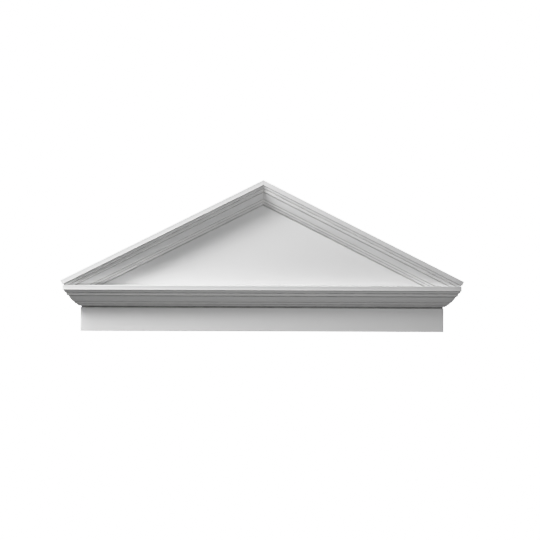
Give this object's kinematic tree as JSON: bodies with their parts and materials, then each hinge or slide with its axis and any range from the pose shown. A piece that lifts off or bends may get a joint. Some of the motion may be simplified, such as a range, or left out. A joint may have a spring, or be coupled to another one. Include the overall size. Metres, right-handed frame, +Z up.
{
  "type": "peaked cap pediment",
  "caption": "Triangular wall pediment: flat board dressed with a level crown moulding and raking crowns that meet in a mitred peak, white primed, plain frieze and tympanum.",
  "frame": {"origin": "on the flat back where it meets the wall, on the centre line, level with the top of the horizontal crown", "axes": "+Z up towards the peak, +Y into the wall, so the moulded front faces -Y; X runs along the frieze"},
  "size_m": [1.674, 0.09, 0.633],
  "materials": {
    "primed_board": "matte",
    "primed_moulding": "matte"
  },
  "bodies": {
    "root": {"backboard": "primed_board", "horizontal_crown": "primed_moulding", "raking_crown_left": "primed_moulding", "raking_crown_right": "primed_moulding"}
  },
  "joints": []
}
